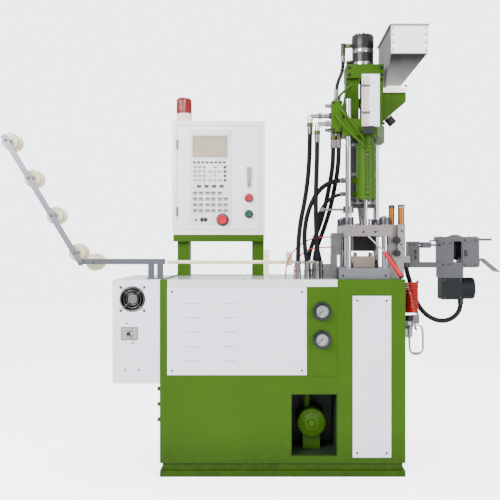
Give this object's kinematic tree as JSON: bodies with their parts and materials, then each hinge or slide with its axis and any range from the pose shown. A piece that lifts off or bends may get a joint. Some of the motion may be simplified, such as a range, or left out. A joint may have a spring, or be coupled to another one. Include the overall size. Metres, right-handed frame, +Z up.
{
  "type": "injection moulding machine",
  "caption": "Vertical injection moulding machine: cabinet base, mould clamp, screw unit with hopper on a sliding carriage, control cabinet, roller feed arm and strip take-off.",
  "frame": {"origin": "centre of the base's underside, on the floor", "axes": "+X to the machine's right seen from its front, +Y from the front to the back, +Z up"},
  "size_m": [2.3486, 0.634, 2.05],
  "materials": {
    "green_paint": "satin green enamel",
    "white_paint": "satin white enamel",
    "grey_white_paint": "textured light grey powder coat",
    "dark_paint": "satin black enamel",
    "steel": "ground steel",
    "chrome_rod": "polished hard chrome",
    "zinc": "zinc plated",
    "aluminium": "brushed",
    "sheet_steel": "bright stainless sheet",
    "black_plastic": "moulded black",
    "red_plastic": "moulded red",
    "green_plastic": "moulded green",
    "cream_plastic": "moulded cream",
    "grey_plastic": "moulded grey",
    "hose_rubber": "black oil hose"
  },
  "bodies": {
    "root": {"air_regulator": "grey_plastic", "air_tube_coils": "red_plastic", "base_frame": "green_paint", "beacon": "red_plastic", "blow_gun": "red_plastic", "bolster_plate": "steel", "cabinet_stand": "green_paint", "carriage_rod": "chrome_rod", "column_panel": "white_paint", "control_cabinet": "grey_white_paint", "electrical_box": "white_paint", "fan_guard": "black_plastic", "feed_arm_lower": "steel", "guide_plate": "steel", "guide_tube": "cream_plastic", "hydraulic_hoses": "hose_rubber", "louvred_panel": "white_paint", "motor_conduit": "black_plastic", "mould_column": "green_paint", "panel_screws": "zinc", "pressure_gauges": "grey_plastic", "pump_motor": "green_paint", "red_air_tubes": "red_plastic", "table_cover": "white_paint", "takeoff_frame": "aluminium", "takeoff_motor": "dark_paint", "tie_bars": "chrome_rod", "top_platen": "steel", "upper_mould": "steel", "valve_block": "zinc"},
    "control_door": {"control_door": "grey_white_paint"},
    "door_handle": {"door_handle": "black_plastic"},
    "emergency_stop": {"emergency_stop": "red_plastic"},
    "stop_button": {"stop_button": "red_plastic"},
    "start_button": {"start_button": "green_plastic"},
    "fan_rotor": {"fan_rotor": "black_plastic"},
    "breaker_toggle": {"breaker_toggle": "black_plastic"},
    "gauge_needle_upper": {"gauge_needle_upper": "black_plastic"},
    "gauge_needle_lower": {"gauge_needle_lower": "black_plastic"},
    "feed_arm_upper": {"feed_arm_upper": "aluminium"},
    "lower_mould": {"lower_mould": "steel"},
    "lock_knob_lower": {"lock_knob_lower": "black_plastic"},
    "lock_knob_upper": {"lock_knob_upper": "black_plastic"},
    "injection_carriage": {"injection_seat": "green_paint", "barrel": "zinc", "barrel_cover": "dark_paint", "injection_cylinder": "dark_paint", "carriage_cylinder": "green_paint", "scale_cover": "white_paint", "hopper": "sheet_steel", "manifold": "green_paint"},
    "injection_ram": {"injection_ram": "chrome_rod"},
    "screw": {"screw": "steel"},
    "puller_wheel": {"puller_wheel": "grey_plastic"},
    "takeoff_jaw": {"takeoff_jaw": "steel"},
    "guide_roller_1": {"guide_roller_1": "cream_plastic"},
    "guide_roller_2": {"guide_roller_2": "cream_plastic"},
    "guide_roller_3": {"guide_roller_3": "cream_plastic"},
    "guide_roller_4": {"guide_roller_4": "cream_plastic"},
    "guide_roller_5": {"guide_roller_5": "cream_plastic"}
  },
  "joints": [
    {"name": "control_door_hinge", "type": "hinge", "parent": "root", "child": "control_door", "pos_m": [-0.53075, 0.096, 1.384], "axis": [0, 0, -1], "range_deg": [0, 110]},
    {"name": "door_handle_turn", "type": "hinge", "parent": "control_door", "child": "door_handle", "pos_m": [-0.168, 0.09, 1.428], "axis": [0, 1, 0], "range_deg": [0, 90]},
    {"name": "emergency_stop_press", "type": "slide", "parent": "control_door", "child": "emergency_stop", "axis": [0, 1, 0], "range_m": [0, 0.005], "stiffness_N_per_m": 900},
    {"name": "stop_button_press", "type": "slide", "parent": "control_door", "child": "stop_button", "axis": [0, 1, 0], "range_m": [0, 0.004], "stiffness_N_per_m": 600},
    {"name": "start_button_press", "type": "slide", "parent": "control_door", "child": "start_button", "axis": [0, 1, 0], "range_m": [0, 0.004], "stiffness_N_per_m": 600},
    {"name": "fan_spin", "type": "hinge", "parent": "root", "child": "fan_rotor", "pos_m": [-0.68, -0.285, 0.801], "axis": [0, 1, 0], "continuous": true},
    {"name": "breaker_rock", "type": "hinge", "parent": "root", "child": "breaker_toggle", "pos_m": [-0.693, -0.311, 0.646], "axis": [1, 0, 0], "range_deg": [-20, 20]},
    {"name": "gauge_needle_upper_turn", "type": "hinge", "parent": "root", "child": "gauge_needle_upper", "pos_m": [0.173, -0.315, 0.746], "axis": [0, 1, 0], "range_deg": [0, 270], "stiffness_Nm_per_rad": 0.0005, "springref_deg": -17.19},
    {"name": "gauge_needle_lower_turn", "type": "hinge", "parent": "root", "child": "gauge_needle_lower", "pos_m": [0.173, -0.315, 0.619], "axis": [0, 1, 0], "range_deg": [0, 270], "stiffness_Nm_per_rad": 0.0005, "springref_deg": -17.19},
    {"name": "feed_arm_tilt", "type": "hinge", "parent": "root", "child": "feed_arm_upper", "pos_m": [-0.939, -0.204, 0.96], "axis": [0, -1, 0], "range_deg": [0, 50]},
    {"name": "lower_mould_lift", "type": "slide", "parent": "root", "child": "lower_mould", "axis": [0, 0, 1], "range_m": [0, 0.025]},
    {"name": "lock_knob_lower_turn", "type": "hinge", "parent": "root", "child": "lock_knob_lower", "pos_m": [0.523, -0.22, 1.006], "axis": [0, 1, 0], "continuous": true},
    {"name": "lock_knob_upper_turn", "type": "hinge", "parent": "root", "child": "lock_knob_upper", "pos_m": [0.523, -0.22, 1.065], "axis": [0, 1, 0], "continuous": true},
    {"name": "injection_carriage_lift", "type": "slide", "parent": "root", "child": "injection_carriage", "axis": [0, 0, 1], "range_m": [0, 0.06], "deforming": ["hydraulic_hoses"]},
    {"name": "injection_ram_stroke", "type": "slide", "parent": "injection_carriage", "child": "injection_ram", "axis": [0, 0, 1], "range_m": [0, 0.05]},
    {"name": "screw_spin", "type": "hinge", "parent": "injection_ram", "child": "screw", "pos_m": [0.384, -0.086, 1.4], "axis": [0, 0, 1], "continuous": true},
    {"name": "puller_wheel_spin", "type": "hinge", "parent": "root", "child": "puller_wheel", "pos_m": [0.839, -0.04, 1.033], "axis": [0, 1, 0], "continuous": true},
    {"name": "takeoff_jaw_slide", "type": "slide", "parent": "root", "child": "takeoff_jaw", "axis": [1, 0, 0], "range_m": [0, 0.03]},
    {"name": "guide_roller_5_spin", "type": "hinge", "parent": "root", "child": "guide_roller_5", "pos_m": [-0.889, -0.11, 0.964], "axis": [0, 1, 0], "continuous": true},
    {"name": "guide_roller_1_spin", "type": "hinge", "parent": "feed_arm_upper", "child": "guide_roller_1", "pos_m": [-0.96861, -0.11, 1.0087], "axis": [0, 1, 0], "continuous": true},
    {"name": "guide_roller_2_spin", "type": "hinge", "parent": "feed_arm_upper", "child": "guide_roller_2", "pos_m": [-1.07459, -0.11, 1.18301], "axis": [0, 1, 0], "continuous": true},
    {"name": "guide_roller_3_spin", "type": "hinge", "parent": "feed_arm_upper", "child": "guide_roller_3", "pos_m": [-1.18058, -0.11, 1.35732], "axis": [0, 1, 0], "continuous": true},
    {"name": "guide_roller_4_spin", "type": "hinge", "parent": "feed_arm_upper", "child": "guide_roller_4", "pos_m": [-1.28656, -0.11, 1.53163], "axis": [0, 1, 0], "continuous": true}
  ]
}
